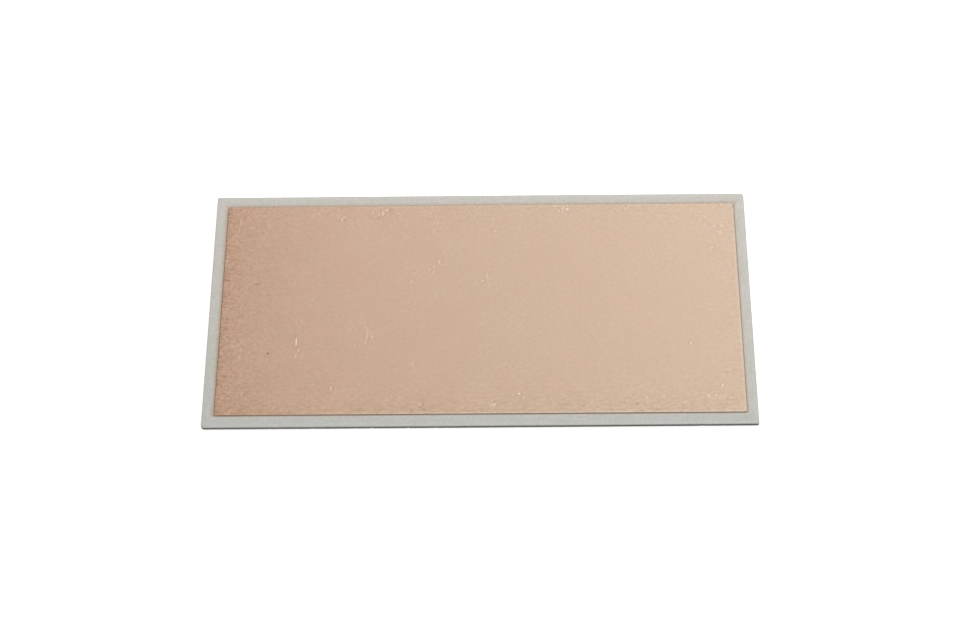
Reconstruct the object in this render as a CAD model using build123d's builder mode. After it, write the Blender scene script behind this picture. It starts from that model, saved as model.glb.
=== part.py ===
"""Copper clad ceramic substrate: one bare card of bonded-copper board stock.

The card is a thin sheet of fired ceramic with a copper foil bonded to each face. Both foils are etched
back from the edge of the ceramic, so a bare margin runs all round them and keeps the two sides apart
electrically. The etch works from the free face of the foil, so the foil's flank is hollow: it starts
steep under the free face and spreads out to a thin foot on the ceramic.

The ceramic was cut from a larger panel along a laser scribe. The scribe leaves a shallow leaning band
along the top of the card's edge, and the snapped face below it is upright.

Frame: millimetres, +Z up, X along the card and Y across it. The origin is under the middle of the
ceramic, on the surface that the card lies on, which is also the free face of the back foil.
"""

import os

from build123d import *

# Ceramic sheet
sheet_length = 100.0
sheet_width = 50.0
sheet_thickness = 0.635
sheet_corner_radius = 0.3
scribe_depth = 0.2  # height of the leaning band under the top face
scribe_lean = 0.04  # how far the band leans in at the top face

# Copper foils
foil_thickness = 0.3
side_margin = 2.02  # bare ceramic beyond the foot of the foil at the two short ends
front_margin = 2.28  # the same along the two long sides
top_foil_shift = 0.14  # the upper foil's pattern sits this far towards +X on the sheet
foil_corner_radius = 0.3  # at the foot of the foil
etch_run = 0.15  # how far the flank runs in from the foot to the free face
etch_hollow = 0.03  # depth of the flank's hollow below its straight chord
cutter_clearance = 0.5  # how far the etch cutter reaches past the foil, outwards and upwards

# Sizes and levels that follow
foil_length = sheet_length - 2 * side_margin
foil_width = sheet_width - 2 * front_margin
sheet_bottom = foil_thickness
sheet_top = sheet_bottom + sheet_thickness


def ceramic_sheet():
    """The fired sheet, with the laser scribe's leaning band along its top edge."""
    with BuildPart() as sheet:
        with BuildSketch(Plane.XY.offset(sheet_bottom)):
            RectangleRounded(sheet_length, sheet_width, sheet_corner_radius)
        extrude(amount=sheet_thickness)
        top_face = sheet.faces().sort_by(Axis.Z)[-1]
        chamfer(top_face.edges(), length=scribe_lean, length2=scribe_depth, reference=top_face)
    return sheet.part


def etched_foil(face):
    """A foil whose foot lies on the plane given and whose free face is turned the plane's way."""
    with BuildPart() as foil:
        with BuildSketch(face) as outline:
            RectangleRounded(foil_length, foil_width, foil_corner_radius)
        extrude(amount=foil_thickness)

        # The etch cutter's section stands on the middle of one long side, with its own X pointing outwards
        foot_path = outline.sketch.face().outer_wire()
        section_plane = Plane(
            origin=face.from_local_coords((0, -foil_width / 2, 0)),
            x_dir=-face.y_dir,
            z_dir=-face.x_dir,
        )
        with BuildSketch(section_plane) as etch_section:
            with BuildLine():
                flank_top = (-etch_run, foil_thickness)
                SagittaArc((0, 0), flank_top, etch_hollow)
                Polyline(
                    flank_top,
                    (-etch_run, foil_thickness + cutter_clearance),
                    (cutter_clearance, foil_thickness + cutter_clearance),
                    (cutter_clearance, 0),
                    (0, 0),
                )
            make_face()
        sweep(sections=etch_section.sketch, path=foot_path, mode=Mode.SUBTRACT)
    return foil.part


ceramic = ceramic_sheet()
ceramic.label = "ceramic_sheet"

copper_top = etched_foil(Plane(origin=(top_foil_shift, 0, sheet_top)))
copper_top.label = "copper_top"

copper_back = etched_foil(Plane(origin=(0, 0, sheet_bottom), z_dir=(0, 0, -1)))
copper_back.label = "copper_back"

os.makedirs("parts", exist_ok=True)
for piece in (ceramic, copper_top, copper_back):
    export_step(piece, f"parts/{piece.label}.step")
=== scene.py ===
import math
import random
from collections import namedtuple

import bpy
from mathutils import Matrix, Vector, kdtree, noise


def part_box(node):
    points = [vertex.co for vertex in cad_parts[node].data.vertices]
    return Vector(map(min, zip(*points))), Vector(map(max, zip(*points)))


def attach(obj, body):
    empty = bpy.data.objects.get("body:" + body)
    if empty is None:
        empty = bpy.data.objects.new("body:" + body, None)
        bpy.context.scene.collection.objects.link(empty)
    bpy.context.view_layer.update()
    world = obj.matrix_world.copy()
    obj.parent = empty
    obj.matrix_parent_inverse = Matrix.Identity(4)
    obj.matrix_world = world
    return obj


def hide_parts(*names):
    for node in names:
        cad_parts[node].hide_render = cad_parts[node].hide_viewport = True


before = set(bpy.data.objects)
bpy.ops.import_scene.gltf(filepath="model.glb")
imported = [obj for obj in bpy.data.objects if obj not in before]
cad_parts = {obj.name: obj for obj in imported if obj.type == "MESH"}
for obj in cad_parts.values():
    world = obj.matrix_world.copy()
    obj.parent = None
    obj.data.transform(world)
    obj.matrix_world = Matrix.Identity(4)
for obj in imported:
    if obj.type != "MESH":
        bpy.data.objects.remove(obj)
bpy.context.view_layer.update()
mm = 0.001  # the scene is in metres

# Ceramic sheet. A thin plate of fired aluminium nitride, light grey and matt, as it comes from the kiln.
# It was snapped out of a larger panel along rows of laser shots, so the top of its edge is scalloped and
# leans in, and the break below it is upright, rough and sooted dark by the laser.
sheet_low, sheet_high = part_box("ceramic_sheet")
half_length = sheet_high.x
half_width = sheet_high.y
corner_radius = {(-1, -1): 0.6 * mm, (1, -1): 0.3 * mm, (1, 1): 0.7 * mm, (-1, 1): 0.3 * mm}
corner_segments = 8
laser_pitch = 0.15 * mm
laser_bite = 0.035 * mm
points_a_shot = 4
shots_a_block = 25
scribe_depth = 0.2 * mm
edge_lean = 0.01 * mm
side_reach = 2.5 * edge_lean
break_roughness = 0.018 * mm
crack_length = 0.6 * mm
crack_height = 0.15 * mm
crumb_length = 0.13 * mm
crumb_height = 0.1 * mm
chip_spacing = 5 * mm
chip_height = 0.1 * mm
top_chip_share = 0.4
corner_fade = 0.6 * mm
right_end_taper = 0.0022
rim_width = 0.25 * mm
sheet_crease = math.radians(40)
hair = 0.001 * mm  # two levels closer than this count as one
break_levels = (0.04 * mm, 0.17 * mm, 0.3 * mm)
scribe_levels = (0.07 * mm, 0.14 * mm, scribe_depth)
scribe_bottom = sheet_high.z - scribe_depth
long_blocks = round(2 * half_length / (shots_a_block * laser_pitch))
short_blocks = round(2 * half_width / (shots_a_block * laser_pitch))


def pick(piece, kind, test):
    """Leaves selected only the vertices, edges or faces whose middle passes the test."""
    bpy.ops.mesh.select_mode(type=kind)
    bpy.ops.mesh.select_all(action="DESELECT")
    bpy.ops.object.mode_set(mode="OBJECT")
    mesh = piece.data
    if kind == "VERT":
        for vertex in mesh.vertices:
            vertex.select = test(vertex.co)
    elif kind == "EDGE":
        for edge in mesh.edges:
            start, end = edge.vertices
            edge.select = test((mesh.vertices[start].co + mesh.vertices[end].co) / 2)
    else:
        for face in mesh.polygons:
            face.select = test(face.center)
    bpy.ops.object.mode_set(mode="EDIT")


def rounded_plate(name, length, width, radii, long_blocks, short_blocks, steps_a_block):
    """A flat plate in edit mode, its corners rounded and each straight side cut into blocks of even steps."""
    bpy.ops.object.select_all(action="DESELECT")
    bpy.ops.mesh.primitive_plane_add(size=1)
    plate = bpy.context.active_object
    plate.name = name
    bpy.ops.object.mode_set(mode="EDIT")
    bpy.ops.transform.resize(value=(length, width, 1))
    for (side_x, side_y), radius in radii.items():
        pick(plate, "VERT", lambda spot: spot.x * side_x > 0 and spot.y * side_y > 0)
        bpy.ops.mesh.bevel(
            offset=radius, offset_type="OFFSET", segments=corner_segments, affect="VERTICES"
        )
    long_level = width / 2 - hair
    short_level = length / 2 - hair
    for towards in (-1, 1):
        pick(plate, "EDGE", lambda spot: towards * spot.y > long_level)
        bpy.ops.mesh.subdivide(number_cuts=long_blocks - 1)
        pick(plate, "EDGE", lambda spot: towards * spot.x > short_level)
        bpy.ops.mesh.subdivide(number_cuts=short_blocks - 1)
    pick(plate, "EDGE", lambda spot: abs(spot.y) > long_level or abs(spot.x) > short_level)
    bpy.ops.mesh.subdivide(number_cuts=steps_a_block - 1)
    bpy.ops.mesh.select_mode(type="FACE")
    bpy.ops.mesh.select_all(action="SELECT")
    return plate


def side_of(spot, half_long, half_short):
    """The straight side nearest a point: its number, the way along it, the way in from it and inwards."""
    long_gap = half_short - abs(spot.y)
    short_gap = half_long - abs(spot.x)
    if long_gap < short_gap:
        towards = math.copysign(1, spot.y)
        return towards, spot.x, long_gap, Vector((0, -towards, 0))
    towards = math.copysign(1, spot.x)
    return 2 * towards, spot.y, short_gap, Vector((-towards, 0, 0))


sheet = rounded_plate(
    "fired_sheet",
    2 * half_length,
    2 * half_width,
    corner_radius,
    long_blocks,
    short_blocks,
    shots_a_block * points_a_shot,
)
bpy.ops.transform.translate(value=(0, 0, sheet_low.z))
height = sheet_low.z
for level in break_levels:
    step = sheet_low.z + level - height
    bpy.ops.mesh.extrude_region_move(TRANSFORM_OT_translate={"value": (0, 0, step)})
    height += step
bpy.ops.mesh.extrude_region_move(TRANSFORM_OT_translate={"value": (0, 0, scribe_bottom - height)})
height = scribe_bottom
for level in scribe_levels:
    step = scribe_bottom + level - height
    bpy.ops.mesh.inset(thickness=edge_lean / len(scribe_levels), depth=step)
    height += step
bpy.ops.mesh.inset(thickness=rim_width, depth=0)
pick(sheet, "FACE", lambda spot: spot.z < sheet_low.z + hair)
bpy.ops.mesh.inset(thickness=rim_width, depth=0)
bpy.ops.object.mode_set(mode="OBJECT")


def straight_part(side):
    """Where the straight part of one side of the sheet starts and ends, between its rounded corners."""
    if abs(side) == 1:
        return corner_radius[(-1, side)] - half_length, half_length - corner_radius[(1, side)]
    towards = side / 2
    return corner_radius[(towards, -1)] - half_width, half_width - corner_radius[(towards, 1)]


def broken_back(along, z, side):
    """How far the break stands back from the outline: slow cracks with fine crumbs on them."""
    row = side * 7
    crack = noise.noise(Vector((along / crack_length, z / crack_height, row)))
    crumb = noise.noise(Vector((along / crumb_length, z / crumb_height, row)))
    return break_roughness * (0.7 + 0.5 * crack + 0.4 * crumb)


chance = random.Random(11)
bites = {}
chips = {}
for side in (-2, -1, 1, 2):
    reach, blocks = (half_length, long_blocks) if abs(side) == 1 else (half_width, short_blocks)
    bites[side] = [laser_bite * chance.uniform(0.6, 1.0) for shot in range(blocks * shots_a_block)]
    chips[side] = []
    for number in range(round(2 * reach / chip_spacing)):
        middle = chance.uniform(-reach, reach)
        at_top = chance.random() < top_chip_share
        depth = chance.uniform(0.02, 0.04) if at_top else chance.uniform(0.03, 0.09)
        chips[side].append((middle, chance.uniform(0.1, 0.35) * mm, depth * mm, at_top))

for vertex in sheet.data.vertices:
    spot = vertex.co
    side, along, gap, inwards = side_of(spot, half_length, half_width)
    start, end = straight_part(side)
    if gap > side_reach or not start < along < end:
        continue
    shot = (along - start) / (end - start) * len(bites[side])
    number = min(int(shot), len(bites[side]) - 1)
    scallop = bites[side][number] * math.sqrt(max(0.0, 1 - (2 * (shot - number) - 1) ** 2))
    climb = max(0.0, (spot.z - scribe_bottom) / scribe_depth)
    bite = scallop * climb + broken_back(along, spot.z, side) * (1 - climb)
    for middle, width, depth, at_top in chips[side]:
        from_rim = sheet_high.z - spot.z if at_top else spot.z - sheet_low.z
        if abs(along - middle) < width and from_rim < chip_height:
            bite += depth * (1 - ((along - middle) / width) ** 2)
    vertex.co = spot + inwards * bite * min(1.0, (along - start) / corner_fade, (end - along) / corner_fade)

# The sheet was snapped a hair off square, so it narrows from its middle to its right end
for vertex in sheet.data.vertices:
    vertex.co.y *= 1 - right_end_taper * max(0.0, vertex.co.x / half_length)
bpy.ops.object.shade_smooth_by_angle(angle=sheet_crease)


def add_node(finish, kind, settings=None, **inputs):
    """A shader node with the settings and the inputs given. An input that is a socket is wired."""
    node = finish.node_tree.nodes.new(kind)
    for setting, value in (settings or {}).items():
        setattr(node, setting, value)
    for name, value in inputs.items():
        socket = node.inputs[int(name[1:])] if name[1:].isdigit() else node.inputs[name.replace("_", " ")]
        if isinstance(value, bpy.types.NodeSocket):
            finish.node_tree.links.new(value, socket)
        else:
            socket.default_value = value
    return node


def reckon(finish, operation, *values):
    """The result of a sum on shader values."""
    inputs = {f"i{number}": value for number, value in enumerate(values)}
    return add_node(finish, "ShaderNodeMath", {"operation": operation}, **inputs).outputs[0]


def spread(finish, value, low, high, to_low=0.0, to_high=1.0):
    """A shader value brought from one range to another, held at its ends."""
    node = add_node(
        finish, "ShaderNodeMapRange", Value=value, From_Min=low, From_Max=high, To_Min=to_low, To_Max=to_high
    )
    return node.outputs[0]


def blend_colours(finish, share, first, second, way="MIX"):
    """One colour laid over another by a share."""
    node = add_node(
        finish, "ShaderNodeMix", {"data_type": "RGBA", "blend_type": way}, i0=share, i6=first, i7=second
    )
    return node.outputs[2]


def speckle(finish, place, size, detail=2.0, roughness=0.5, distortion=0.0):
    """An even cloudy pattern whose lumps are about the size given."""
    node = add_node(
        finish,
        "ShaderNodeTexNoise",
        Vector=place,
        Scale=1 / size,
        Detail=detail,
        Roughness=roughness,
        Distortion=distortion,
    )
    return node.outputs[0]


def mixture(finish, base, *parts):
    """A base value with shader values added to it, each by its own weight."""
    result = base
    for value, weight in parts:
        result = reckon(finish, "MULTIPLY_ADD", value, weight, result)
    return result


def dying_away(finish, distance, reach):
    """1 at no distance, and less by the same share for each reach further."""
    return reckon(finish, "POWER", 1 / math.e, reckon(finish, "DIVIDE", distance, reach))


def stretched(finish, place, scale, turn=0.0):
    """The same place, its patterns drawn out along an axis where the scale is under 1."""
    return add_node(
        finish, "ShaderNodeMapping", Vector=place, Scale=scale, Rotation=(0, 0, math.radians(turn))
    ).outputs[0]


def outline_gap(finish, x, y, low, high):
    """How far a point lies in from the nearest side of a rectangle seen from above, below 0 outside it."""
    gaps = []
    for value, start, end in ((x, low.x, high.x), (y, low.y, high.y)):
        from_middle = reckon(finish, "ABSOLUTE", reckon(finish, "SUBTRACT", value, (start + end) / 2))
        gaps.append(reckon(finish, "SUBTRACT", (end - start) / 2, from_middle))
    return reckon(finish, "MINIMUM", *gaps)


def new_finish(name):
    """An empty material, and the place on the piece that its patterns read."""
    finish = bpy.data.materials.new(name)
    finish.use_nodes = True
    finish.node_tree.nodes.clear()
    place = add_node(finish, "ShaderNodeTexCoord").outputs["Object"]
    return finish, place


def close_finish(finish, shader):
    """Wires the shader to the material's output."""
    output = add_node(finish, "ShaderNodeOutputMaterial")
    finish.node_tree.links.new(shader.outputs[0], output.inputs["Surface"])


ceramic_grey = (0.562, 0.546, 0.53, 1)
ceramic_green_grey = (0.523, 0.545, 0.49, 1)
ceramic_pale = (0.60, 0.59, 0.56, 1)
no_tint = (1, 1, 1, 1)
# Painted light: the next tint makes the back of the ceramic lighter and warmer.
ceramic_back_painted_light = (1.075, 1.038, 1.005, 1)
# Painted light: the next two tints lighten the ceramic just beside the foil.
ceramic_foot_painted_light = (1.045, 1.02, 1.0, 1)
ceramic_near_foot_painted_light = (1.09, 1.055, 1.03, 1)
# A warm brown that darkens the ceramic just outside the foil's foot.
foot_band_brown = (0.79, 0.62, 0.50, 1)
soot_brown = (0.20, 0.174, 0.146, 1)
soot_black = (0.11, 0.097, 0.084, 1)

ceramic, place = new_finish("fired_ceramic")
x, y, z = add_node(ceramic, "ShaderNodeSeparateXYZ", Vector=place).outputs
fine = speckle(ceramic, place, 0.22 * mm, detail=3, roughness=0.7)
patches = speckle(ceramic, place, 5 * mm, detail=3, roughness=0.6)
colour = blend_colours(ceramic, spread(ceramic, patches, 0.35, 0.65), ceramic_grey, ceramic_green_grey)
colour = blend_colours(ceramic, spread(ceramic, fine, 0.3, 0.75, 0, 0.4), colour, ceramic_pale)
# Painted light: the ceramic grows lighter and warmer from its near edge until a little before its middle, and
# at its right end this comes close to the near edge.
painted_light_drift = spread(ceramic, y, -0.95 * half_width, -0.3 * half_width)
right_end = spread(ceramic, x, 0.955 * half_length, 0.965 * half_length)
right_end_painted_light = spread(ceramic, y, -0.95 * half_width, -0.85 * half_width, 0.0, 0.8)
painted_light_drift = reckon(ceramic, "MAXIMUM", painted_light_drift, reckon(ceramic, "MULTIPLY", right_end, right_end_painted_light))
painted_light_tint = blend_colours(ceramic, painted_light_drift, no_tint, ceramic_back_painted_light)
colour = blend_colours(ceramic, 1.0, colour, painted_light_tint, "MULTIPLY")

foot_low, foot_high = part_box("copper_top")
on_short_margin = reckon(ceramic, "GREATER_THAN", reckon(ceramic, "ABSOLUTE", x), foot_high.x)
wiped_along = add_node(
    ceramic,
    "ShaderNodeMix",
    {"data_type": "VECTOR"},
    i0=on_short_margin,
    i4=stretched(ceramic, place, (0.2, 1, 1)),
    i5=stretched(ceramic, place, (1, 0.2, 1)),
).outputs[1]
streaks = speckle(ceramic, wiped_along, 0.5 * mm, detail=2)
lumps = speckle(ceramic, place, 0.42 * mm, detail=2, roughness=0.6)
colour = blend_colours(
    ceramic, 1.0, colour, mixture(ceramic, 0.74, (lumps, 0.36), (streaks, 0.16)), "MULTIPLY"
)

from_edge = outline_gap(ceramic, x, y, sheet_low, sheet_high)
# Painted light at the sheet's top edge: a painted highlight within about half a millimetre of it, which turns
# to faint shade at the very left end, and a painted shade on its outermost quarter millimetre that is darkest
# at the edge.
edge_highlight_peak = spread(ceramic, x, -0.99 * half_length, -0.96 * half_length, 0.98, 1.04)
edge_highlight = spread(ceramic, from_edge, 0.4 * mm, 0.75 * mm, edge_highlight_peak, 1.0)
edge_shade = spread(ceramic, from_edge, 0.1 * mm, 0.25 * mm, 0.84, 1.0)
edge_painted_light = reckon(ceramic, "MULTIPLY", edge_highlight, edge_shade)
colour = blend_colours(ceramic, 1.0, colour, edge_painted_light, "MULTIPLY")

past_foot = reckon(ceramic, "MULTIPLY", outline_gap(ceramic, x, y, foot_low, foot_high), -1)
past_foot = reckon(ceramic, "MAXIMUM", past_foot, 0.0)
beside_foil = spread(ceramic, y, foot_low.y, foot_low.y + 0.2 * mm)
# Painted light: a lighter band on the ceramic beside the foil's foot, strongest on the near side, lifts the
# shade that the foil casts there.
foot_painted_light_here = blend_colours(ceramic, beside_foil, ceramic_near_foot_painted_light, ceramic_foot_painted_light)
foot_painted_light_share = spread(ceramic, past_foot, 0.3 * mm, 0.6 * mm, 1.0, 0.0)
foot_painted_light_tint = blend_colours(ceramic, foot_painted_light_share, no_tint, foot_painted_light_here)
colour = blend_colours(ceramic, 1.0, colour, foot_painted_light_tint, "MULTIPLY")
# A warm brown darkening of the ceramic just outside the foil's foot. It is widest and strongest at the left
# and far sides and weakest at the near side.
on_left = spread(ceramic, x, foot_low.x - 0.1 * mm, foot_low.x + 0.1 * mm, 1.15, 0.0)
on_far = spread(ceramic, y, foot_high.y - 0.1 * mm, foot_high.y + 0.1 * mm)
on_right = spread(ceramic, x, foot_high.x - 0.1 * mm, foot_high.x + 0.1 * mm, 0.0, 0.4)
on_short_side = reckon(ceramic, "MULTIPLY", reckon(ceramic, "MAXIMUM", on_left, on_right), beside_foil)
foot_band_side = reckon(ceramic, "MAXIMUM", on_short_side, on_far)
foot_band_cloud = speckle(ceramic, place, 0.7 * mm, detail=3, roughness=0.6)
foot_band_reach = reckon(
    ceramic,
    "MULTIPLY",
    mixture(ceramic, 0.16 * mm, (foot_band_side, 0.14 * mm), (on_far, 0.12 * mm)),
    spread(ceramic, foot_band_cloud, 0.3, 0.7, 0.75, 1.3),
)
foot_band_steps = reckon(ceramic, "POWER", reckon(ceramic, "DIVIDE", past_foot, foot_band_reach), 1.5)
foot_band = reckon(ceramic, "POWER", 1 / math.e, foot_band_steps)
foot_band_strength = mixture(ceramic, 0.25, (foot_band_side, 0.65), (on_far, 0.1))
foot_band_share = reckon(ceramic, "MULTIPLY", foot_band, foot_band_strength)
colour = blend_colours(ceramic, foot_band_share, colour, foot_band_brown, "MULTIPLY")

below_top = reckon(ceramic, "SUBTRACT", sheet_high.z, z)
on_side = reckon(
    ceramic,
    "MULTIPLY",
    spread(ceramic, from_edge, 0.1 * mm, 0.16 * mm, 1.0, 0.0),
    spread(ceramic, below_top, 0.03 * mm, 0.25 * mm),
)
soot_patches = speckle(ceramic, place, 2.5 * mm, detail=4, roughness=0.6)
soot_share = reckon(ceramic, "MULTIPLY", on_side, spread(ceramic, soot_patches, 0.3, 0.5, 0.75, 1.0))
soot_drift = spread(ceramic, x, -0.7 * half_length, half_length, 0.0, 0.8)
soot = blend_colours(ceramic, soot_drift, soot_brown, soot_black)
colour = blend_colours(ceramic, soot_share, colour, soot)
fine_bump = add_node(ceramic, "ShaderNodeBump", Strength=0.5, Distance=0.012 * mm, Height=fine)
ceramic_shader = add_node(
    ceramic,
    "ShaderNodeBsdfPrincipled",
    Base_Color=colour,
    Roughness=spread(ceramic, fine, 0.3, 0.7, 0.62, 0.82),
    IOR=1.6,
    Normal=fine_bump.outputs[0],
)
close_finish(ceramic, ceramic_shader)
sheet.data.materials.append(ceramic)
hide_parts("ceramic_sheet")
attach(sheet, "root")

# Copper foils. Each is rolled copper bonded to the ceramic in a furnace, which grows its grain and leaves a
# fine orange peel on its free face. The pattern was etched, so its edge is ragged and its flank is hollow,
# steep under the free face and spreading to a thin foot. Handling has left scratches and small dents.
foil_corner = 0.45 * mm
foil_grid = 0.32 * mm
grid_block = 10
weld_reach = 0.035 * mm
foil_crease = math.radians(50)
etch_run = 0.15 * mm
etch_hollow = 0.03 * mm
etch_levels = 5
relief_room = 0.014 * mm
edge_break = 0.03 * mm
ragged_depth = 0.03 * mm
ragged_size = 0.7 * mm
tooth_depth = 0.2 * mm
tooth_size = 0.42 * mm
left_side = -2
peel_size = 0.8 * mm
peel_height = 0.022 * mm
swell_size = 5 * mm
swell_height = 0.012 * mm
calm_grain = 0.2
left_grain_reach = 9 * mm
rim_grain_reach = 2.2 * mm
mark_depth = 0.01 * mm
mark_room = 0.25 * mm
mark_reach = 2.4
mark_cuts = 3
# The darker ring round a bright mark: partly a dull burr, partly painted shade.
burr_and_shade_share = 0.28
burr_and_shade_place = 1.7
burr_and_shade_width = 0.5

Mark = namedtuple("Mark", "x y half_width half_length way depth shine")


def scratch(x, y, length, turn, shine, width=0.3):
    """A bright stroke across the foil, turned clockwise. Its middle and sizes are in millimetres."""
    way = Vector((math.sin(math.radians(turn)), math.cos(math.radians(turn))))
    return Mark(x * mm, y * mm, width * mm / 2, length * mm / 2, way, mark_depth, shine)


def streak(x, y, length, turn, shade):
    """A dark thin stroke in the surface, given in millimetres."""
    return scratch(x, y, length, turn, -shade)


def nick(x, y, radius, shine):
    """A small bright nick, given in millimetres."""
    return scratch(x, y, 2 * radius, 0, shine, 2 * radius)


def pit(x, y, radius):
    """A dark etched pit, given in millimetres."""
    return nick(x, y, radius, -1.0)._replace(depth=2 * mark_depth)


def scuff(x, y, reach, strokes, shine):
    """A patch of short faint strokes round a point, bright and dark, given in millimetres."""
    chance = random.Random(round(1000 * x + y))
    patch = []
    for number in range(strokes):
        stroke_x = x + reach * chance.gauss(0, 0.5)
        stroke_y = y + reach * chance.gauss(0, 0.5)
        length = chance.uniform(0.3, 0.9)
        turn = chance.gauss(0, 25)
        strength = shine * chance.uniform(0.5, 1.0)
        if number % 3:
            patch.append(scratch(stroke_x, stroke_y, length, turn, strength))
        else:
            patch.append(streak(stroke_x, stroke_y, length, turn, 0.5 * strength))
    return patch


def way_out(mark, spot, room=0.0):
    """How far a point lies from the middle of a mark, counted in the mark's own size, with room round it."""
    x = spot.x - mark.x
    y = spot.y - mark.y
    along = x * mark.way.x + y * mark.way.y
    across = x * mark.way.y - y * mark.way.x
    return math.hypot(across / (mark.half_width + room), (along / (mark.half_length + room)) ** 2)


def wear_and_shade_tone(mark, spot, seed):
    """How bright or dark a mark makes a point: burnished in its middle, with a darker ring round it that is
    partly a dull burr and partly painted shade.
    """
    out = way_out(mark, spot)
    if mark.shine < 0:
        return mark.shine * math.exp(-out * out)
    strength = mark.shine
    if mark.half_length > 4 * mark.half_width:
        strength *= 0.95 + 0.4 * noise.noise(Vector((mark.x / mm, spot.y / (0.4 * mm), seed)))
    burr_and_shade = math.exp(-(((out - burr_and_shade_place) / burr_and_shade_width) ** 2))
    return strength * (math.exp(-out * out) - burr_and_shade_share * burr_and_shade)


def foil_blank(name, length, width, flank_top, face_level):
    """A closed foil in edit mode, with hollow flanks, a broken edge and a fine even grid for a free face."""
    long_blocks = round((length - 2 * foil_corner) / (grid_block * foil_grid))
    short_blocks = round((width - 2 * foil_corner) / (grid_block * foil_grid))
    radii = {corner: foil_corner for corner in corner_radius}
    foil = rounded_plate(name, length, width, radii, long_blocks, short_blocks, grid_block)
    rise = 0.0
    run = 0.0
    for level in range(1, etch_levels + 1):
        share = level / etch_levels
        next_rise = flank_top * share
        next_run = etch_run * share + 4 * etch_hollow * share * (1 - share)
        bpy.ops.mesh.inset(thickness=next_run - run, depth=next_rise - rise)
        rise = next_rise
        run = next_run
    bpy.ops.mesh.inset(thickness=edge_break, depth=edge_break)
    bpy.ops.mesh.inset(thickness=foil_corner - etch_run - edge_break, depth=0)
    bpy.ops.mesh.delete(type="FACE")
    bpy.ops.mesh.primitive_grid_add(
        x_subdivisions=long_blocks * grid_block,
        y_subdivisions=short_blocks * grid_block,
        size=1,
        location=(0, 0, face_level),
    )
    bpy.ops.transform.resize(
        value=(length - 2 * foil_corner, width - 2 * foil_corner, 1), center_override=(0, 0, face_level)
    )
    bpy.ops.mesh.select_all(action="SELECT")
    bpy.ops.mesh.remove_doubles(threshold=weld_reach)
    pick(foil, "EDGE", lambda spot: spot.z < hair)
    bpy.ops.mesh.edge_face_add()
    bpy.ops.mesh.select_all(action="SELECT")
    bpy.ops.mesh.normals_make_consistent(inside=False)
    return foil


def mark_finder(marks, face_level):
    """A way to find the marks round a point of a foil's free face."""
    finder = kdtree.KDTree(len(marks))
    for number, mark in enumerate(marks):
        finder.insert((mark.x, mark.y, face_level), number)
    finder.balance()
    widest = max(mark.half_length for mark in marks) * mark_reach + mark_room

    def marks_at(spot):
        return [marks[number] for place, number, distance in finder.find_range(spot, widest)]

    return marks_at


def press_marks(foil, marks_at, lowest, half_long, half_short, seed):
    """Presses the marks into the free face, and keeps how bright or dark they make each point."""
    wear_and_shade = [0.0] * len(foil.data.vertices)
    for vertex in foil.data.vertices:
        spot = vertex.co.copy()
        if spot.z <= lowest:
            continue
        gap = side_of(spot, half_long, half_short)[2]
        for mark in marks_at(spot):
            out = way_out(mark, spot)
            if out >= mark_reach:
                continue
            tone = wear_and_shade_tone(mark, spot, seed)
            if abs(tone) > abs(wear_and_shade[vertex.index]):
                wear_and_shade[vertex.index] = tone
            if gap > foil_corner - hair:
                vertex.co.z -= mark.depth * math.exp(-out * out)
    foil.data.attributes.new("wear_and_shade", "FLOAT", "POINT").data.foreach_set("value", wear_and_shade)


def eat_rim(foil, face_level, half_long, half_short, seed):
    """Eats unevenly into the rim, in teeth on the left, and sets how strong the grain is inside it."""
    grain_group = foil.vertex_groups.new(name="grain")
    for vertex in foil.data.vertices:
        spot = vertex.co.copy()
        side, along, gap, inwards = side_of(spot, half_long, half_short)
        if gap > foil_corner - hair:
            left_end = math.exp(-(spot.x + half_long) / left_grain_reach)
            near_rim = math.exp(-gap / rim_grain_reach)
            grain = min(1.0, calm_grain + 0.8 * left_end + 0.4 * near_rim)
            grain_group.add([vertex.index], grain, "REPLACE")
            continue
        ragged = ragged_depth * (0.5 + 0.5 * noise.noise(Vector((along / ragged_size, side * 9, seed))))
        if side == left_side:
            tooth = noise.noise(Vector((along / tooth_size, 3.3, seed)))
            ragged += tooth_depth * max(0.0, tooth) * spot.z / face_level
        vertex.co = spot + inwards * ragged * (1 - gap / foil_corner)


def raise_grain(foil):
    """Lifts the free face into orange peel and slow swells, as strongly as the grain group says."""
    for kind, size, strength in (("peel", peel_size, peel_height), ("swell", swell_size, swell_height)):
        texture = bpy.data.textures.new(f"{foil.name}_{kind}", "CLOUDS")
        texture.noise_scale = size
        texture.noise_depth = 1
        relief = foil.modifiers.new(kind, "DISPLACE")
        relief.texture = texture
        relief.texture_coords = "LOCAL"
        relief.direction = "Z"
        relief.strength = strength
        relief.mid_level = 0.5
        relief.vertex_group = "grain"
        bpy.ops.object.modifier_apply(modifier=kind)


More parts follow.
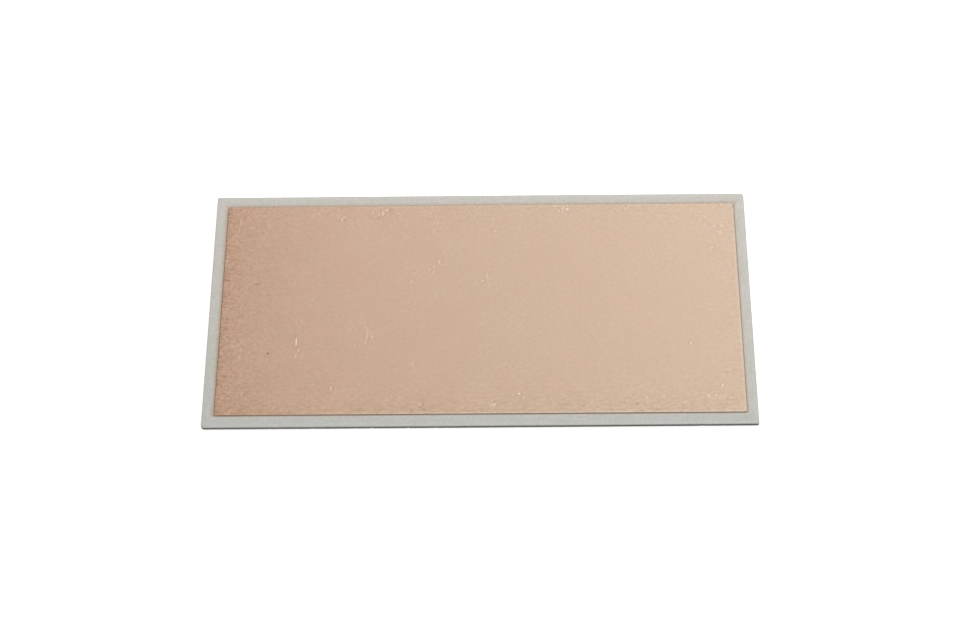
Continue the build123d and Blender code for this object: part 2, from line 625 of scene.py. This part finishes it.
def etched_foil(name, node, turned_over, seed, marks):
    """A foil in the place of its CAD node, with its grain and marks in the mesh."""
    low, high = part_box(node)
    length, width, thick = high - low
    face_level = thick - relief_room
    flank_top = face_level - edge_break
    foil = foil_blank(name, length, width, flank_top, face_level)
    marks_at = mark_finder(marks, face_level)

    def near_mark(spot):
        on_face = spot.z > face_level - hair
        return on_face and any(way_out(mark, spot, mark_room) < 1 for mark in marks_at(spot))

    pick(foil, "FACE", near_mark)
    bpy.ops.mesh.subdivide(number_cuts=mark_cuts)
    bpy.ops.object.mode_set(mode="OBJECT")
    press_marks(foil, marks_at, flank_top - hair, length / 2, width / 2, seed)
    eat_rim(foil, face_level, length / 2, width / 2, seed)
    raise_grain(foil)
    for vertex in foil.data.vertices:
        vertex.co.z = min(vertex.co.z, thick)

    bpy.ops.object.mode_set(mode="EDIT")
    bpy.ops.mesh.select_all(action="SELECT")
    if turned_over:
        bpy.ops.transform.rotate(value=math.pi, orient_axis="X", center_override=(0, 0, 0))
    bonded_level = high.z if turned_over else low.z
    bpy.ops.transform.translate(value=((low.x + high.x) / 2, 0, bonded_level))
    bpy.ops.object.mode_set(mode="OBJECT")
    bpy.ops.object.shade_smooth_by_angle(angle=foil_crease)
    return foil


# Tones of the metal from its left end to its right: partly its own tint, partly a painted reflection that
# brightens it towards the right.
copper_left = (0.53, 0.349, 0.249, 1)
copper_left_inner = (0.566, 0.386, 0.280, 1)
copper_quarter = (0.596, 0.4165, 0.303, 1)
copper_middle = (0.617, 0.450, 0.329, 1)
copper_right = (0.672, 0.506, 0.381, 1)
copper_red = (0.47, 0.275, 0.195, 1)
copper_burnished = (0.86, 0.72, 0.60, 1)
# Partly a painted highlight: the golden shine of the rim, which is partly burnish.
copper_rim_highlight = (0.70, 0.615, 0.53, 1)
# Dark pits and wear, painted shade round and beside some marks, and dark bites along the left rim.
copper_pit_and_shade = (0.24, 0.15, 0.10, 1)
# The flanks: partly the dull etch and partly painted shade.
copper_flank_etch_and_shade = (0.305, 0.238, 0.185, 1)
copper_right_flank_etch_and_shade = (0.43, 0.355, 0.285, 1)
# Painted light: the next two tints darken the copper's front and lighten its back.
copper_front_painted_shade = (0.965, 0.962, 0.955, 1)
copper_back_painted_light = (1.035, 1.04, 1.055, 1)
rosy_tint = (1.006, 0.995, 0.993, 1)
straw_tint = (0.994, 1.004, 1.005, 1)
grain_weights = (0.8, 0.92, 1.08)


def copper_body(finish, place, y, from_left, low, high):
    """The colour of the metal: redder and darker at the left, partly its own tint and partly a painted
    reflection that brightens it towards the right; darker at the front and paler at the back, which is
    painted light; and faintly patchy.
    """
    clouds = speckle(finish, place, 9 * mm, detail=3, roughness=0.5)
    drift = reckon(finish, "ADD", from_left, spread(finish, clouds, 0, 1, -7 * mm, 7 * mm))
    # Partly painted light: the ramp brightens the metal from left to right, for a reflection as well as for
    # its own tint.
    ramp = add_node(finish, "ShaderNodeValToRGB", Fac=spread(finish, drift, 0, high.x - low.x))
    stops = ramp.color_ramp.elements
    stops[0].color = copper_left
    stops[1].color = copper_right
    for share, tone in ((0.12, copper_left_inner), (0.25, copper_quarter), (0.5, copper_middle)):
        stop = stops.new(share)
        stop.color = tone
    # Painted light: the metal is darker at the front and paler at the back.
    front_to_back_painted_light = blend_colours(finish, spread(finish, y, low.y, high.y), copper_front_painted_shade, copper_back_painted_light)
    colour = blend_colours(finish, 1.0, ramp.outputs[0], front_to_back_painted_light, "MULTIPLY")
    warm_patches = speckle(finish, place, 4 * mm, detail=1)
    patch_tint = blend_colours(finish, spread(finish, warm_patches, 0.35, 0.65), rosy_tint, straw_tint)
    colour = blend_colours(finish, 1.0, colour, patch_tint, "MULTIPLY")
    blotches = speckle(finish, place, 0.6 * mm, detail=2, roughness=0.6)
    red_band = dying_away(finish, from_left, 3.5 * mm)
    red_share = reckon(finish, "MULTIPLY", red_band, spread(finish, blotches, 0.42, 0.62, 0.0, 0.6))
    return blend_colours(finish, red_share, colour, copper_red)


def copper_grain(finish, place, y, from_left, rim_band, low, high):
    """The grain: the tint that it gives the metal, which also carries painted shade at the front edge and
    painted shading of the grain's relief, the dashes that it is made of, and its strength.
    """
    dashes = speckle(finish, stretched(finish, place, (0.55, 1, 1)), 0.34 * mm, detail=1.5, distortion=0.3)
    points = speckle(finish, place, 0.22 * mm, detail=1)
    warped = add_node(
        finish, "ShaderNodeVectorMath", {"operation": "MULTIPLY_ADD"}, i0=dashes, i1=(0.4 * mm,) * 3, i2=place
    ).outputs[0]
    crystals = add_node(finish, "ShaderNodeTexVoronoi", Vector=warped, Scale=1 / (0.5 * mm)).outputs["Color"]
    crystal_tone = add_node(finish, "ShaderNodeSeparateColor", Color=crystals).outputs[0]
    mottle = mixture(finish, -0.81, (dashes, 1.0), (points, 0.5), (crystal_tone, 0.12))
    # The mottle is strongest at the left end and near the rim. It is partly the grain's own colour and partly
    # painted shading of its relief.
    grain_strength = mixture(
        finish,
        0.04,
        (dying_away(finish, from_left, 6 * mm), 0.46),
        (dying_away(finish, from_left, 25 * mm), 0.13),
        (rim_band, 0.3),
    )
    soft = speckle(finish, place, 0.65 * mm, detail=1)
    rolled = speckle(finish, stretched(finish, place, (0.3, 1, 1)), 0.34 * mm, detail=1)
    rubbed = speckle(finish, stretched(finish, place, (1, 0.45, 1)), 0.3 * mm, detail=1)
    from_near = reckon(finish, "SUBTRACT", y, low.y)
    near_band = dying_away(finish, from_near, 5 * mm)
    far_band = dying_away(finish, reckon(finish, "SUBTRACT", high.y, y), 2.5 * mm)
    # Painted shade: the term along the front edge darkens the metal towards it.
    grain_and_shade_tone = mixture(
        finish,
        -0.065,
        (soft, 0.13),
        (dying_away(finish, from_near, 1.7 * mm), -0.05),
        (mottle, grain_strength),
        (reckon(finish, "SUBTRACT", rolled, 0.5), reckon(finish, "MULTIPLY", near_band, 0.5)),
        (reckon(finish, "SUBTRACT", rubbed, 0.5), reckon(finish, "MULTIPLY", far_band, 0.4)),
    )
    grain_and_shade_tint = add_node(
        finish,
        "ShaderNodeVectorMath",
        {"operation": "MULTIPLY_ADD"},
        i0=grain_and_shade_tone,
        i1=grain_weights,
        i2=(1, 1, 1),
    ).outputs[0]
    return grain_and_shade_tint, dashes, grain_strength


def worn_and_shaded_copper(finish, place, colour):
    """The same copper with scattered faint scuffs, and bright or dark where the mesh is marked: burnished and
    dark wear, with painted shade round and beside some marks.
    """
    strokes = speckle(finish, stretched(finish, place, (1, 0.4, 1), turn=20), 0.32 * mm, detail=1)
    scuff_patches = spread(finish, speckle(finish, place, 5 * mm, detail=2), 0.5, 0.64)
    scuffs = reckon(finish, "MULTIPLY", spread(finish, strokes, 0.54, 0.8, 0, 0.22), scuff_patches)
    # Bright and dark wear, with painted shade round and beside some marks.
    wear_and_shade = add_node(finish, "ShaderNodeAttribute", {"attribute_name": "wear_and_shade"}).outputs["Fac"]
    colour = blend_colours(finish, reckon(finish, "MAXIMUM", wear_and_shade, scuffs), colour, copper_burnished)
    return blend_colours(finish, spread(finish, wear_and_shade, 0.0, -1.0), colour, copper_pit_and_shade)


def rimmed_copper(finish, place, colour, from_left, from_right, from_rim, right_x):
    """The same copper with a golden broken shine along its rim, partly burnish and partly a painted highlight
    that grows towards the right, and small dark bites along its left one.
    """
    broken = spread(finish, speckle(finish, place, 0.9 * mm, detail=2), 0.38, 0.55, 0.35, 1.0)
    # Painted highlight, partly burnish, along the rim. It grows towards the right and is broad at the right
    # end.
    rim_highlight = spread(finish, from_rim, etch_run + 0.1 * mm, etch_run + 0.34 * mm, 1.0, 0.0)
    right_rim_highlight = spread(finish, from_right, etch_run + 0.15 * mm, etch_run + 0.6 * mm, 0.6, 0.0)
    highlight_towards_right = spread(finish, from_left, 0.2 * right_x, 1.2 * right_x, 0.1, 1.0)
    rim_highlight = reckon(finish, "MULTIPLY", rim_highlight, highlight_towards_right)
    rim_highlight = reckon(finish, "MULTIPLY", reckon(finish, "MAXIMUM", rim_highlight, right_rim_highlight), broken)
    colour = blend_colours(finish, rim_highlight, colour, copper_rim_highlight)
    bitten = spread(finish, speckle(finish, stretched(finish, place, (0.25, 1, 1)), 0.32 * mm), 0.52, 0.62)
    left_rim = spread(finish, from_left, etch_run + 0.15 * mm, etch_run + 0.9 * mm, 0.7, 0.0)
    return blend_colours(finish, reckon(finish, "MULTIPLY", bitten, left_rim), colour, copper_pit_and_shade)


def flanked_copper(finish, colour, z, from_right, free_level):
    """The same copper, dull and dark below its free face, partly as the etch left it and partly painted
    shade, with painted shade along the rim of its right end. The right flank is paler.
    """
    below_free = reckon(finish, "ABSOLUTE", reckon(finish, "SUBTRACT", z, free_level))
    # Painted shade along the rim of the right end, and flanks that are partly etched dull and partly painted
    # shade.
    right_rim_painted_shade = spread(finish, from_right, etch_run + 0.05 * mm, etch_run + 0.25 * mm, 0.6, 0.0)
    flank_etch_and_shade = reckon(finish, "MAXIMUM", spread(finish, below_free, 0.03 * mm, 0.09 * mm), right_rim_painted_shade)
    flank_side = spread(finish, from_right, 0.2 * mm, 0.3 * mm)
    flank_etch_and_shade_colour = blend_colours(finish, flank_side, copper_right_flank_etch_and_shade, copper_flank_etch_and_shade)
    return blend_colours(finish, flank_etch_and_shade, colour, flank_etch_and_shade_colour)


def copper_finish(name, node, free_level):
    """Satin copper, redder and darker at its left end and paler at its back, partly painted light, with
    etched dark flanks that are partly painted shade, a golden rim that is partly a painted highlight, and
    burnished marks.
    """
    low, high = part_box(node)
    finish, place = new_finish(name)
    x, y, z = add_node(finish, "ShaderNodeSeparateXYZ", Vector=place).outputs
    from_left = reckon(finish, "SUBTRACT", x, low.x)
    from_right = reckon(finish, "SUBTRACT", high.x, x)
    from_rim = outline_gap(finish, x, y, low, high)
    rim_band = dying_away(finish, from_rim, 3.5 * mm)
    colour = copper_body(finish, place, y, from_left, low, high)
    grain_and_shade_tint, dashes, grain_strength = copper_grain(finish, place, y, from_left, rim_band, low, high)
    colour = blend_colours(finish, 1.0, colour, grain_and_shade_tint, "MULTIPLY")
    colour = worn_and_shaded_copper(finish, place, colour)
    colour = rimmed_copper(finish, place, colour, from_left, from_right, from_rim, high.x)
    colour = flanked_copper(finish, colour, z, from_right, free_level)
    fine = speckle(finish, place, 0.2 * mm, detail=2, roughness=0.6)
    bump = add_node(
        finish,
        "ShaderNodeBump",
        Strength=1.0,
        Distance=0.03 * mm,
        Height=reckon(finish, "MULTIPLY", mixture(finish, 0.0, (dashes, 1.2), (fine, 0.5)), grain_strength),
    )
    shader = add_node(
        finish,
        "ShaderNodeBsdfPrincipled",
        Base_Color=colour,
        Metallic=1.0,
        Roughness=spread(finish, fine, 0.3, 0.7, 0.38, 0.5),
        Normal=bump.outputs[0],
    )
    close_finish(finish, shader)
    return finish


# What handling left on the top foil, with painted shade in some dark streaks set beside bright marks. Each
# mark has its place from the foil's middle and then its size
top_marks = [
    scratch(-33.7, -7.3, 1.9, 1, 0.85, 0.28),
    scratch(-33.2, -9.1, 0.7, 15, 0.35, 0.4),
    scratch(-33.7, -10.3, 0.9, 3, 0.3, 0.4),
    scratch(-33.3, -5.2, 0.6, 30, 0.2, 0.4),
    scratch(-20.8, -5.9, 3.4, 3, 0.22, 0.4),
    scratch(-20.6, -5.2, 1.3, 0, 0.22, 0.36),
    scratch(-20.8, -6.4, 0.8, 5, 0.5),
    scratch(-21.0, -7.5, 1.0, 3, 0.35, 0.36),
    scratch(-19.8, -6.5, 0.7, 4, 0.45, 0.36),
    scratch(-20.0, -5.6, 0.6, 90, 0.2, 0.4),
    streak(-20.5, -6.9, 0.5, 0, 0.3),
    scratch(-23.0, -8.2, 0.8, 4, 0.2, 0.4),
    scratch(-21.4, -3.2, 0.7, 0, 0.15, 0.4),
    scratch(-45.4, 19.1, 1.6, 2, 0.42, 0.24),
    scratch(-45.5, 17.4, 1.3, 3, 0.42, 0.24),
    scratch(-27.0, -17.2, 1.0, 3, 0.65, 0.26),
    streak(-26.6, -17.2, 0.7, 3, 0.25),
    scratch(-43.9, -9.0, 0.5, 10, 0.25, 0.4),
    scratch(-43.9, -10.4, 1.6, 2, 0.22, 0.32),
    scratch(-42.3, -9.6, 0.8, 40, 0.2, 0.4),
    scratch(-43.1, -18.3, 1.4, 3, 0.2, 0.36),
    streak(-42.6, -18.3, 0.8, 3, 0.12),
    nick(-30.7, 20.9, 0.22, 0.4),
    scratch(-31.8, 20.3, 1.5, 15, 0.2, 0.36),
    nick(-32.5, 18.9, 0.2, 0.28),
    streak(-31.0, 22.2, 0.5, 0, 0.25),
    scratch(-26.2, 19.5, 0.8, 3, 0.7),
    scratch(-25.8, 20.1, 0.6, 15, 0.35, 0.36),
    streak(-25.8, 19.5, 0.5, 0, 0.4),
    streak(-26.6, 19.4, 0.8, 0, 0.2),
    scratch(-27.0, 19.9, 0.7, 2, 0.22),
    streak(-26.3, 22.2, 0.7, 0, 0.3),
    scratch(-18.5, 20.9, 1.0, 10, 0.68, 0.42),
    scratch(-17.8, 21.7, 0.8, 55, 0.5, 0.5),
    streak(-17.1, 21.6, 0.8, 5, 0.4),
    streak(-18.0, 20.8, 0.5, 0, 0.22),
    scratch(-20.3, 21.4, 1.8, 25, 0.3, 0.34),
    streak(-20.7, 21.0, 1.2, 25, 0.15),
    streak(-19.3, 19.7, 0.5, 90, 0.25),
    scratch(-18.9, 18.9, 1.0, 4, 0.2, 0.4),
    scratch(-16.9, 17.9, 0.8, 10, 0.2, 0.45),
    scratch(-15.5, 20.8, 0.6, 0, 0.2),
    nick(-10.4, 21.3, 0.2, 0.4),
    scratch(-10.1, 15.0, 0.9, 90, 0.15, 0.36),
    scratch(-8.0, 18.7, 1.1, 5, 0.2, 0.4),
    scratch(-8.3, 19.8, 0.5, 0, 0.2, 0.4),
    scratch(-8.8, 16.6, 1.5, 3, 0.18, 0.5),
    streak(-8.5, 17.9, 0.5, 90, 0.15),
    scratch(-7.7, 9.9, 1.1, 2, 0.6),
    scratch(-7.0, 9.2, 0.8, 92, 0.25, 0.36),
    scratch(-8.7, 8.8, 0.6, 20, 0.4, 0.36),
    scratch(-8.8, 7.5, 0.9, 0, 0.28, 0.34),
    scratch(-9.6, 8.3, 0.6, 80, 0.28, 0.4),
    streak(-7.1, 10.3, 0.6, 0, 0.15),
    streak(-9.4, 8.9, 0.8, 90, 0.12),
    scratch(1.2, 6.9, 1.1, 2, 0.4, 0.36),
    scratch(1.9, 6.0, 0.8, 92, 0.35, 0.34),
    scratch(0.3, 5.5, 0.7, 50, 0.42, 0.36),
    streak(0.5, 5.1, 0.4, 90, 0.25),
    scratch(-0.8, 5.2, 0.8, 5, 0.25, 0.4),
    scratch(2.3, 18.8, 1.9, 2, 0.16, 0.4),
    nick(2.7, 16.7, 0.24, 0.45),
    scratch(2.9, 17.6, 0.5, 5, 0.2),
    streak(2.5, 17.0, 0.5, 0, 0.15),
    scratch(14.8, 21.0, 0.6, 10, 0.65, 0.34),
    scratch(15.6, 21.6, 0.7, 10, 0.75, 0.36),
    nick(16.4, 21.5, 0.3, 0.95),
    nick(14.2, 22.2, 0.22, 0.5),
    nick(15.7, 22.2, 0.2, 0.5),
    nick(16.5, 22.3, 0.2, 0.5),
    scratch(27.4, 21.4, 0.8, 2, 0.45),
    scratch(27.9, 22.1, 0.5, 2, 0.45),
    nick(33.2, 22.2, 0.22, 0.5),
    streak(15.8, 5.0, 0.5, 0, 0.1),
    scratch(16.4, 5.3, 0.5, 20, 0.2, 0.4),
    streak(17.2, 5.1, 0.5, 0, 0.1),
    scratch(17.7, 5.2, 0.6, 0, 0.16, 0.4),
    streak(18.2, 5.0, 0.5, 90, 0.12),
    nick(6.7, 11.1, 0.22, 0.2),
    nick(41.4, 18.6, 0.26, 0.45),
    scratch(42.4, 19.4, 0.7, 10, 0.3, 0.4),
    nick(44.9, 15.9, 0.5, 0.3),
    nick(44.0, 17.4, 0.34, 0.3),
    nick(45.4, 17.4, 0.34, 0.3),
    streak(45.0, 18.0, 0.5, 90, 0.15),
    scratch(43.2, 12.5, 0.8, 80, 0.6, 0.34),
    scratch(42.8, 12.0, 0.5, 40, 0.3, 0.36),
    nick(47.7, 8.7, 0.24, 0.8),
    nick(47.6, 21.2, 0.24, 0.9),
    streak(47.8, 21.9, 0.8, 0, 0.9),
    streak(47.9, 19.3, 0.9, 0, 0.5),
    streak(47.2, 21.5, 0.4, 45, 0.25),
    nick(45.6, 22.2, 0.18, 0.7),
    nick(38.4, -8.2, 0.22, 0.8),
    nick(37.7, -8.9, 0.2, 0.25),
    scratch(43.7, -17.2, 0.8, 0, 0.85),
    scratch(41.1, -19.3, 0.9, -40, 0.55, 0.36),
    streak(41.9, -19.1, 0.6, -30, 0.2),
    scratch(42.4, -19.3, 0.9, 15, 0.4, 0.34),
    scratch(42.3, -18.5, 1.3, 95, 0.22, 0.34),
    scratch(42.0, -19.9, 1.2, 85, 0.28, 0.34),
    nick(43.1, -19.7, 0.22, 0.45),
    scratch(43.9, -19.4, 0.8, -35, 0.3, 0.34),
    streak(44.2, -19.9, 0.6, -35, 0.18),
    scratch(45.2, -19.8, 1.0, 92, 0.35, 0.34),
    streak(45.1, -20.3, 0.8, 60, 0.2),
    scratch(44.9, -20.5, 0.6, 5, 0.25),
    scratch(44.7, -13.9, 1.3, 92, 0.25, 0.36),
    streak(44.5, -14.3, 0.8, 90, 0.18),
    scratch(45.1, -14.9, 0.7, 100, 0.18),
    nick(33.0, -19.2, 0.36, 0.32),
    nick(29.9, -19.5, 0.24, 0.55),
    streak(28.3, -20.9, 0.4, 0, 0.6),
    streak(18.6, -21.1, 0.5, 0, 0.35),
    streak(31.9, -22.0, 0.6, 90, 0.3),
    nick(36.9, -20.5, 0.3, 0.2),
    nick(7.0, -18.6, 0.24, 0.8),
    nick(7.8, -19.4, 0.22, 0.4),
    streak(6.3, -19.4, 0.5, 0, 0.12),
    nick(2.5, -20.8, 0.25, 0.75),
    nick(1.9, -21.0, 0.22, 0.4),
    streak(2.6, -20.2, 0.7, 70, 0.25),
    streak(3.1, -20.8, 0.5, 0, 0.15),
    scratch(1.5, -20.3, 0.7, 0, 0.25),
    nick(11.0, -5.7, 0.24, 0.2),
    nick(-12.4, -12.3, 0.26, 0.3),
    nick(-12.8, 5.5, 0.28, 0.3),
    nick(-10.9, -20.6, 0.24, 0.3),
    streak(-11.3, -20.6, 0.4, 0, 0.2),
    streak(-10.3, -20.7, 0.5, 0, 0.5),
    streak(-10.7, -20.1, 0.5, 90, 0.2),
    streak(-10.8, -21.3, 0.5, 90, 0.4),
    streak(-12.3, -22.0, 0.6, 0, 0.5),
    streak(-10.1, -21.9, 0.4, 0, 0.45),
    pit(-38.8, -9.8, 0.2),
    streak(-41.6, 5.2, 0.9, 97, 0.45),
    streak(-39.5, 8.2, 0.7, 90, 0.3),
    streak(-39.3, 2.8, 0.7, 86, 0.3),
    streak(-46.9, 6.1, 0.6, 90, 0.5),
    streak(-46.5, -14.5, 0.7, -50, 0.6),
    *scuff(-26.2, 20.0, 1.0, 6, 0.25),
    *scuff(-18.6, 21.0, 1.6, 12, 0.3),
    *scuff(-8.6, 18.2, 1.2, 6, 0.2),
    *scuff(1.4, 6.6, 1.2, 6, 0.2),
    *scuff(15.6, 21.3, 1.2, 12, 0.4),
    *scuff(43.4, 16.2, 2.4, 14, 0.3),
    *scuff(-33.0, -19.6, 1.4, 6, 0.2),
]

top_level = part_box("copper_top")[1].z
top_foil = etched_foil("top_foil", "copper_top", False, 1, top_marks)
top_foil.data.materials.append(copper_finish("top_copper", "copper_top", top_level))
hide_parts("copper_top")
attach(top_foil, "root")

back_low, back_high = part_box("copper_back")
unmarked_rim = 2  # in millimetres, as the marks are
back_reach_x = back_high.x / mm - unmarked_rim
back_reach_y = back_high.y / mm - unmarked_rim
chance = random.Random(5)
back_marks = []
for number in range(12):
    x = chance.uniform(-back_reach_x, back_reach_x)
    y = chance.uniform(-back_reach_y, back_reach_y)
    back_marks.append(scratch(x, y, chance.uniform(1, 5), chance.uniform(-25, 25), chance.uniform(0.4, 0.9)))
for number in range(16):
    x = chance.uniform(-back_reach_x, back_reach_x)
    y = chance.uniform(-back_reach_y, back_reach_y)
    back_marks.append(nick(x, y, chance.uniform(0.12, 0.22), chance.uniform(0.5, 1.0)))
back_foil = etched_foil("back_foil", "copper_back", True, 2, back_marks)
back_foil.data.materials.append(copper_finish("back_copper", "copper_back", back_low.z))
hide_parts("copper_back")
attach(back_foil, "root")

# Floor and light. A white table in a plain white room, lit by one soft lamp above it at the back and a wide
# faint one further off to the right, which only the right end of the copper mirrors.
room_level = 0.5
key_level = 0.46
key_place = (0.08, 0.15, 0.32)
key_size = 0.25
wide_level = 0.04
wide_place = (0.66, 0.44, 0.70)
wide_size = 0.9
floor_size = 6
floor_glow_level = 0.86
floor_grey = 0.4
contact_reach = 1 * mm


def camera_sees(finish):
    """1 where the camera sees a surface straight, in metal or through glass, and 0 where it only lights."""
    paths = add_node(finish, "ShaderNodeLightPath").outputs
    mirrored = reckon(finish, "ADD", paths["Is Glossy Ray"], paths["Is Transmission Ray"])
    return reckon(finish, "MINIMUM", 1.0, reckon(finish, "ADD", paths["Is Camera Ray"], mirrored))


bpy.ops.object.select_all(action="DESELECT")
bpy.ops.mesh.primitive_plane_add(size=floor_size, location=(0, 0, 0))
floor = bpy.context.active_object
floor.name = "floor"
floor.data.transform(Matrix.Translation((0, 0, -hair)))
white_floor = new_finish("white_floor")[0]
open_sky = add_node(white_floor, "ShaderNodeAmbientOcclusion", Distance=contact_reach).outputs["AO"]
floor_share = spread(white_floor, open_sky, 0.2, 0.4, 0.0, floor_glow_level)
glow_strength = reckon(white_floor, "MULTIPLY", camera_sees(white_floor), floor_share)
floor_glow = add_node(white_floor, "ShaderNodeEmission", Color=(1, 1, 1, 1), Strength=glow_strength)
floor_paint = add_node(white_floor, "ShaderNodeBsdfDiffuse", Color=(floor_grey, floor_grey, floor_grey, 1))
floor_shader = add_node(
    white_floor, "ShaderNodeAddShader", i0=floor_glow.outputs[0], i1=floor_paint.outputs[0]
)
close_finish(white_floor, floor_shader)
floor.data.materials.append(white_floor)

room = bpy.data.worlds.new("white_room")
bpy.context.scene.world = room
room.use_nodes = True
room.node_tree.nodes.clear()
room_strength = spread(room, camera_sees(room), 0.0, 1.0, room_level, 1.0)
room_light = add_node(room, "ShaderNodeBackground", Color=(1, 1, 1, 1), Strength=room_strength)
room_output = add_node(room, "ShaderNodeOutputWorld")
room.node_tree.links.new(room_light.outputs[0], room_output.inputs["Surface"])


def soft_lamp(name, place, size, level):
    """A square soft lamp that faces the card, of a strength that shows a white card at the level given."""
    way = Vector(place)
    bpy.ops.object.light_add(type="AREA", location=way)
    lamp = bpy.context.active_object
    lamp.name = name
    lamp.rotation_euler = way.to_track_quat("Z", "Y").to_euler()
    lamp.data.size = size
    lamp.data.energy = level * math.pi**2 * way.length_squared * way.length / way.z
    return lamp


key_lamp = soft_lamp("key_lamp", key_place, key_size, key_level)
key_lamp.visible_glossy = False
soft_lamp("wide_lamp", wide_place, wide_size, wide_level)

# Camera. It looks down on the card from the front, a little to the right, with a long lens.
camera_place = (7.25 * mm, -222.2 * mm, 358.5 * mm)
camera_tilt = math.radians(90 - 58.25)
camera_yaw = math.radians(1.864)
camera_roll = math.radians(-2.046)
sensor_width = 36
focal_length = 85.54
bpy.ops.object.camera_add(location=camera_place)
camera = bpy.context.active_object
turn = Matrix.Rotation(camera_yaw, 3, "Z") @ Matrix.Rotation(camera_tilt, 3, "X")
camera.rotation_euler = (turn @ Matrix.Rotation(camera_roll, 3, "Z")).to_euler()
camera.data.sensor_width = sensor_width
camera.data.lens = focal_length
camera.data.clip_start = 10 * mm
camera.data.clip_end = 10
bpy.context.scene.camera = camera
bpy.context.scene.view_settings.view_transform = "Standard"
